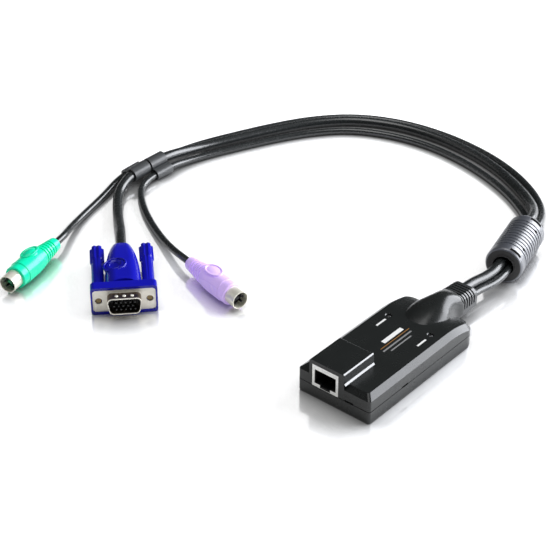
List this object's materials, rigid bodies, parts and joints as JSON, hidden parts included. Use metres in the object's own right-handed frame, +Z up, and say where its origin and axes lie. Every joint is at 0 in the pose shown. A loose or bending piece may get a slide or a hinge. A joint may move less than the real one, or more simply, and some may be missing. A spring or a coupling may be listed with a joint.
{
  "type": "kvm dongle",
  "caption": "Console adapter: black snap-fit housing with a network jack, cables through a ferrite and clips to a video plug and round mouse and keyboard plugs.",
  "frame": {"origin": "on the floor below the middle of the housing with its strain relief", "axes": "+Z up, -Y out of the network jack, +Y out of the cable end, +X across the housing"},
  "size_m": [0.2384, 0.2747, 0.0206],
  "materials": {
    "housing": "semi-gloss black",
    "relief": "satin dark grey",
    "board": "green solder mask",
    "chip": "matte black",
    "steel": "satin",
    "white_plastic": "matte",
    "wires": "satin",
    "shield": "bright plated",
    "black_plastic": "matte",
    "gold": "plated",
    "lamp": "dark clear plastic",
    "cover": "satin black",
    "core": "matte ceramic",
    "jacket": "satin dark grey",
    "blue_plastic": "satin blue",
    "green_plastic": "satin green",
    "green_insert": "matte dark green",
    "purple_plastic": "satin purple"
  },
  "bodies": {
    "adapter": {"housing_top": "housing", "housing_bottom": "housing", "strain_relief": "relief", "circuit_board": "board", "main_chip": "chip", "support_chip": "chip", "crystal": "steel", "capacitor": "steel", "wire_header": "white_plastic", "lead_wires": "wires", "jack_shield": "shield", "jack_insert": "black_plastic", "jack_contacts": "gold", "online_lamp": "lamp", "power_lamp": "lamp", "ferrite_cover": "cover", "ferrite_core": "core", "upper_clip": "cover", "lower_clip": "cover", "video_cable": "jacket", "keyboard_cable": "jacket", "mouse_cable": "jacket", "video_hood": "blue_plastic", "video_shell": "shield", "video_insulator": "black_plastic", "video_pins": "gold", "mouse_plug_body": "green_plastic", "mouse_plug_shell": "shield", "mouse_plug_insert": "green_insert", "mouse_plug_pins": "gold", "keyboard_plug_body": "purple_plastic", "keyboard_plug_shell": "shield", "keyboard_plug_insert": "black_plastic", "keyboard_plug_pins": "gold"},
    "left_thumbscrew": {"left_knob": "blue_plastic", "left_screw": "steel"},
    "right_thumbscrew": {"right_knob": "blue_plastic", "right_screw": "steel"}
  },
  "joints": [
    {"name": "left_thumbscrew_turn", "type": "hinge", "parent": "adapter", "child": "left_thumbscrew", "pos_m": [-0.13662, -0.06494, 0.00775], "axis": [-0.7266, 0.6871, 0], "continuous": true},
    {"name": "right_thumbscrew_turn", "type": "hinge", "parent": "adapter", "child": "right_thumbscrew", "pos_m": [-0.11945, -0.04679, 0.00775], "axis": [-0.7266, 0.6871, 0], "continuous": true}
  ]
}
